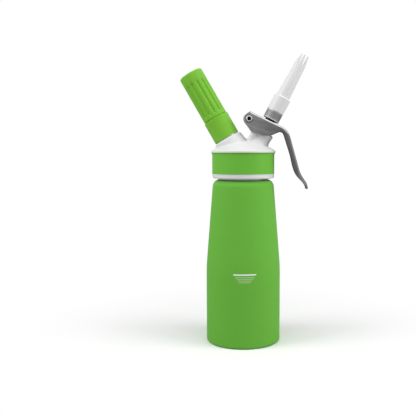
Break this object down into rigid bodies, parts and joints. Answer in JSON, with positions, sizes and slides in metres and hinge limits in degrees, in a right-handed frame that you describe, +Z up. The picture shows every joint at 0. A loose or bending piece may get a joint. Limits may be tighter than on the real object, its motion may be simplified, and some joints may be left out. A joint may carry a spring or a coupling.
{
  "type": "whipped cream dispenser",
  "caption": "Hand-held whipped cream dispenser: bottle, screw-on head with a tilted charger holder, and a squeeze lever that opens a sprung valve below a star nozzle.",
  "frame": {"origin": "middle of the ring that the bottle stands on, on the bottle's axis", "axes": "+Z up along the bottle's axis; +X towards the nozzle and lever, -X towards the charger holder; the valve's and charger's axes lie in the XZ plane"},
  "size_m": [0.1362, 0.08, 0.309],
  "materials": {
    "green_soft_coat": "matte green soft-touch coat over spun aluminium, bare metal inside",
    "green_rubber": "matte green silicone",
    "green_plastic": "satin green plastic",
    "white_plastic": "smooth white plastic",
    "seal_rubber": "pale silicone",
    "black_rubber": "black rubber",
    "machined_aluminium": "turned metal",
    "brushed_aluminium": "brushed, with rounded bends",
    "steel": "turned stainless steel"
  },
  "bodies": {
    "bottle": {"bottle_shell": "green_soft_coat"},
    "gasket": {"head_gasket": "seal_rubber"},
    "head": {"head_body": "white_plastic", "head_grip_band": "green_rubber", "charger_spigot": "machined_aluminium", "pin_holder": "steel", "piercing_pin": "steel", "charger_seal": "seal_rubber", "check_valve": "seal_rubber", "valve_bush": "white_plastic", "valve_spring": "steel", "pivot_bolt": "steel", "pivot_screw": "steel"},
    "lever": {"lever": "brushed_aluminium"},
    "valve": {"valve_stem": "steel", "stem_ring": "black_rubber", "valve_seal": "black_rubber", "seal_washer": "steel", "seal_nut": "steel", "adapter_washer": "black_rubber", "nozzle_adapter": "machined_aluminium"},
    "tip": {"decorator_tip": "white_plastic"},
    "holder": {"charger_holder": "green_plastic", "holder_insert": "machined_aluminium"}
  },
  "joints": [
    {"name": "head_lift", "type": "slide", "parent": "bottle", "child": "gasket", "axis": [0, 0, 1], "range_m": [0, 0.0161]},
    {"name": "head_turn", "type": "hinge", "parent": "gasket", "child": "head", "pos_m": [0, 0, 0.19], "axis": [0, 0, 1], "range_deg": [0, 1440]},
    {"name": "lever_squeeze", "type": "hinge", "parent": "head", "child": "lever", "pos_m": [0.00686, 0, 0.24013], "axis": [0, 1, 0], "range_deg": [0, 11], "stiffness_Nm_per_rad": 1.1, "springref_deg": -21.77},
    {"name": "valve_press", "type": "slide", "parent": "head", "child": "valve", "axis": [-0.4695, 0, -0.8829], "range_m": [0, 0.0041], "deforming": ["valve_spring"]},
    {"name": "tip_off", "type": "slide", "parent": "valve", "child": "tip", "axis": [0.4695, 0, 0.8829], "range_m": [0, 0.015]},
    {"name": "holder_screw_off", "type": "slide", "parent": "head", "child": "holder", "axis": [-0.5, 0, 0.866], "range_m": [0, 0.085]}
  ],
  "couplings": [
    {"joint": "head_lift", "follows": "head_turn", "m_per_rad": 0.00063662},
    {"joint": "valve_press", "follows": "lever_squeeze", "m_per_rad": 0.0202}
  ]
}
